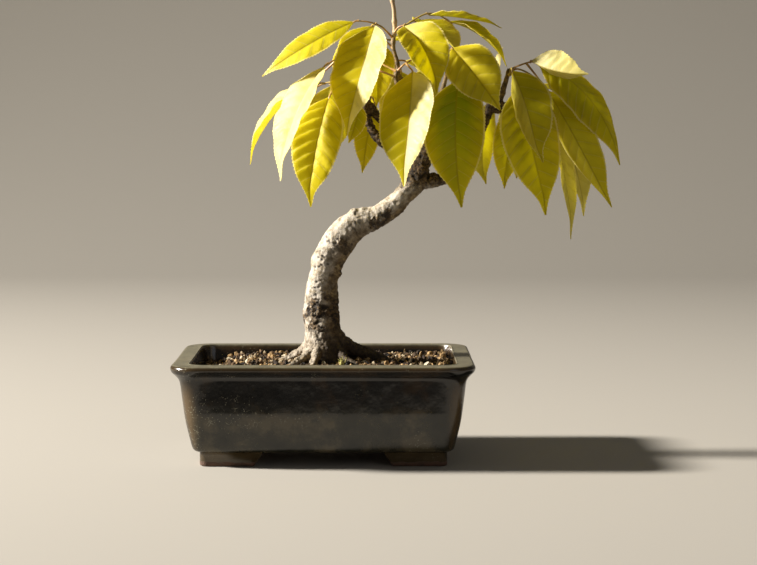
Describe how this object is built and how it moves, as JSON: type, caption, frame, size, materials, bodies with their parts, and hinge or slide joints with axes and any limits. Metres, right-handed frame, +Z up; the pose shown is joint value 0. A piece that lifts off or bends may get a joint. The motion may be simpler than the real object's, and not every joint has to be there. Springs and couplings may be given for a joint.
{
  "type": "ash bonsai in a rectangular pot",
  "caption": "Leaning ash bonsai with drooping serrate leaflets on compound leaves, planted in gritty soil in a rectangular dark glazed pot on bracket feet.",
  "frame": {"origin": "middle of the plant's footprint box, on the surface that the pot's feet stand on", "axes": "+Z up, +Y away from the viewer across the pot's short side, +X along the pot's long side, the way the crown leans"},
  "size_m": [0.3608, 0.168, 0.4213],
  "materials": {
    "glazed_stoneware": "dark olive-brown gloss glaze, bare brown clay at the foot ring",
    "drain_mesh": "plain moulded mesh",
    "soil_grit": "loose baked clay and pumice grit",
    "ash_bark": "grey-beige bark with dark pits",
    "ash_leaf": "satin leaf, yellow-green"
  },
  "bodies": {
    "root": {"drain_mesh_left": "drain_mesh", "drain_mesh_right": "drain_mesh", "leaf_apex_left": "ash_leaf", "leaf_apex_right": "ash_leaf", "leaf_back_centre": "ash_leaf", "leaf_back_left": "ash_leaf", "leaf_back_middle": "ash_leaf", "leaf_back_right": "ash_leaf", "leaf_centre": "ash_leaf", "leaf_left_hanging": "ash_leaf", "leaf_left_small": "ash_leaf", "leaf_middle_left": "ash_leaf", "leaf_middle_top": "ash_leaf", "leaf_right_bud": "ash_leaf", "leaf_right_front": "ash_leaf", "leaf_right_hanging": "ash_leaf", "leaf_right_inner": "ash_leaf", "leaf_right_rear": "ash_leaf", "leaf_right_top": "ash_leaf", "leaf_top_pair": "ash_leaf", "leaf_upper_behind": "ash_leaf", "leaf_upper_left": "ash_leaf", "pot": "glazed_stoneware", "soil": "soil_grit", "trunk_and_branches": "ash_bark"}
  },
  "joints": []
}
